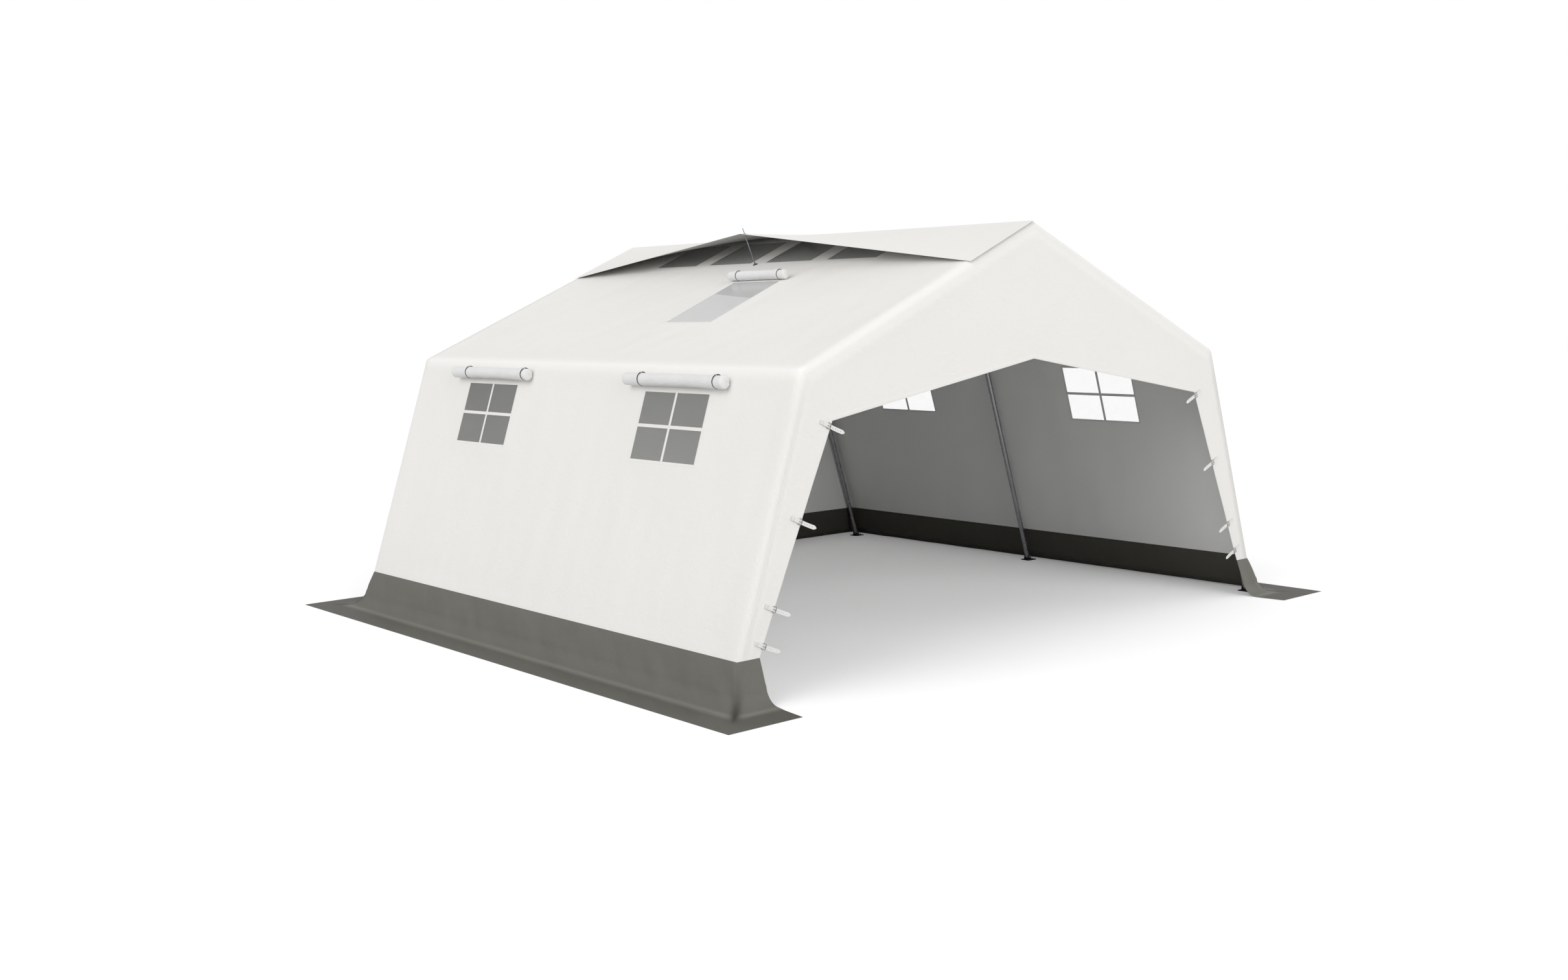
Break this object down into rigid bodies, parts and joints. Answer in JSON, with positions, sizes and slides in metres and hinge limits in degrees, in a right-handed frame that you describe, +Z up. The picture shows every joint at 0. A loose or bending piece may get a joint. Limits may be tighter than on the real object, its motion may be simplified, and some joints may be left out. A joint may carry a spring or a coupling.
{
  "type": "kitchen tent",
  "caption": "White ridge tent on steel tube arches, open front gable, mesh windows with rolled blinds, propped ridge flap over roof vents and dark mud skirts with ground cloth.",
  "frame": {"origin": "on the ground at the centre of the ground cloth's outline", "axes": "+Z up, +Y from the open front gable to the closed back gable along the ridge, +X across, to the right as seen from the front"},
  "size_m": [6.28, 5.6, 3.013],
  "materials": {
    "white_canvas": "matt cotton canvas",
    "coated_skirt": "satin coated fabric",
    "mosquito_mesh": "fine woven mesh",
    "skylight_film": "translucent coated mesh",
    "white_webbing": "woven webbing with a metal buckle",
    "steel_tube": "satin dark grey",
    "painted_casting": "satin dark grey"
  },
  "bodies": {
    "tent": {"blind_left_back": "white_canvas", "blind_left_front": "white_canvas", "blind_right_back": "white_canvas", "blind_right_front": "white_canvas", "blind_skylight": "white_canvas", "eave_joint_left_back": "painted_casting", "eave_joint_left_front": "painted_casting", "eave_joint_left_middle": "painted_casting", "eave_joint_right_back": "painted_casting", "eave_joint_right_front": "painted_casting", "eave_joint_right_middle": "painted_casting", "eave_purlin_left": "steel_tube", "eave_purlin_right": "steel_tube", "gable_back": "white_canvas", "gable_front": "white_canvas", "leg_left_back": "steel_tube", "leg_left_front": "steel_tube", "leg_left_middle": "steel_tube", "leg_right_back": "steel_tube", "leg_right_front": "steel_tube", "leg_right_middle": "steel_tube", "rafter_left_back": "steel_tube", "rafter_left_front": "steel_tube", "rafter_left_middle": "steel_tube", "rafter_right_back": "steel_tube", "rafter_right_front": "steel_tube", "rafter_right_middle": "steel_tube", "ridge_flap": "white_canvas", "ridge_joint_back": "painted_casting", "ridge_joint_front": "painted_casting", "ridge_joint_middle": "painted_casting", "ridge_purlin": "steel_tube", "roof_left": "white_canvas", "roof_right": "white_canvas", "side_wall_left": "white_canvas", "side_wall_right": "white_canvas", "skirt_left": "coated_skirt", "skirt_right": "coated_skirt", "skylight_film": "skylight_film", "stay_socket": "painted_casting", "vent_mesh": "mosquito_mesh", "window_mesh_left_back": "mosquito_mesh", "window_mesh_left_front": "mosquito_mesh", "window_mesh_right_back": "mosquito_mesh", "window_mesh_right_front": "mosquito_mesh"},
    "door_strap_left_1": {"door_strap_left_1": "white_webbing"},
    "door_strap_left_2": {"door_strap_left_2": "white_webbing"},
    "door_strap_left_3": {"door_strap_left_3": "white_webbing"},
    "door_strap_left_4": {"door_strap_left_4": "white_webbing"},
    "door_strap_right_1": {"door_strap_right_1": "white_webbing"},
    "door_strap_right_2": {"door_strap_right_2": "white_webbing"},
    "door_strap_right_3": {"door_strap_right_3": "white_webbing"},
    "door_strap_right_4": {"door_strap_right_4": "white_webbing"},
    "foot_left_back": {"foot_left_back": "painted_casting"},
    "foot_left_front": {"foot_left_front": "painted_casting"},
    "foot_left_middle": {"foot_left_middle": "painted_casting"},
    "foot_right_back": {"foot_right_back": "painted_casting"},
    "foot_right_front": {"foot_right_front": "painted_casting"},
    "foot_right_middle": {"foot_right_middle": "painted_casting"},
    "stay_rod": {"stay_rod": "steel_tube"}
  },
  "joints": [
    {"name": "foot_left_front_tilt", "type": "hinge", "parent": "tent", "child": "foot_left_front", "pos_m": [-2.74501, -2.34, 0.03381], "axis": [0, 1, 0], "range_deg": [-20, 20]},
    {"name": "foot_left_middle_tilt", "type": "hinge", "parent": "tent", "child": "foot_left_middle", "pos_m": [-2.74501, 0, 0.03381], "axis": [0, 1, 0], "range_deg": [-20, 20]},
    {"name": "foot_left_back_tilt", "type": "hinge", "parent": "tent", "child": "foot_left_back", "pos_m": [-2.74501, 2.34, 0.03381], "axis": [0, 1, 0], "range_deg": [-20, 20]},
    {"name": "foot_right_front_tilt", "type": "hinge", "parent": "tent", "child": "foot_right_front", "pos_m": [2.74501, -2.34, 0.03381], "axis": [0, 1, 0], "range_deg": [-20, 20]},
    {"name": "foot_right_middle_tilt", "type": "hinge", "parent": "tent", "child": "foot_right_middle", "pos_m": [2.74501, 0, 0.03381], "axis": [0, 1, 0], "range_deg": [-20, 20]},
    {"name": "foot_right_back_tilt", "type": "hinge", "parent": "tent", "child": "foot_right_back", "pos_m": [2.74501, 2.34, 0.03381], "axis": [0, 1, 0], "range_deg": [-20, 20]},
    {"name": "stay_rod_fold", "type": "hinge", "parent": "tent", "child": "stay_rod", "pos_m": [-0.53946, 0, 2.73948], "axis": [0, 1, 0], "range_deg": [0, 90], "deforming": ["ridge_flap"]},
    {"name": "door_strap_left_1_swing", "type": "hinge", "parent": "tent", "child": "door_strap_left_1", "pos_m": [-2.02843, -2.3828, 1.68654], "axis": [-0.4072, 0, -0.9134], "range_deg": [0, 120]},
    {"name": "door_strap_left_2_swing", "type": "hinge", "parent": "tent", "child": "door_strap_left_2", "pos_m": [-2.2772, -2.3828, 1.11054], "axis": [-0.4072, 0, -0.9134], "range_deg": [0, 120]},
    {"name": "door_strap_left_3_swing", "type": "hinge", "parent": "tent", "child": "door_strap_left_3", "pos_m": [-2.49867, -2.3828, 0.59354], "axis": [-0.4072, 0, -0.9134], "range_deg": [0, 120]},
    {"name": "door_strap_left_4_swing", "type": "hinge", "parent": "tent", "child": "door_strap_left_4", "pos_m": [-2.58595, -2.3828, 0.37754], "axis": [-0.4072, 0, -0.9134], "range_deg": [0, 120]},
    {"name": "door_strap_right_1_swing", "type": "hinge", "parent": "tent", "child": "door_strap_right_1", "pos_m": [2.0072, -2.3828, 1.69154], "axis": [-0.4072, 0, 0.9134], "range_deg": [0, 120]},
    {"name": "door_strap_right_2_swing", "type": "hinge", "parent": "tent", "child": "door_strap_right_2", "pos_m": [2.25104, -2.3828, 1.14454], "axis": [-0.4072, 0, 0.9134], "range_deg": [0, 120]},
    {"name": "door_strap_right_3_swing", "type": "hinge", "parent": "tent", "child": "door_strap_right_3", "pos_m": [2.48151, -2.3828, 0.62754], "axis": [-0.4072, 0, 0.9134], "range_deg": [0, 120]},
    {"name": "door_strap_right_4_swing", "type": "hinge", "parent": "tent", "child": "door_strap_right_4", "pos_m": [2.5827, -2.3828, 0.40054], "axis": [-0.4072, 0, 0.9134], "range_deg": [0, 120]}
  ]
}
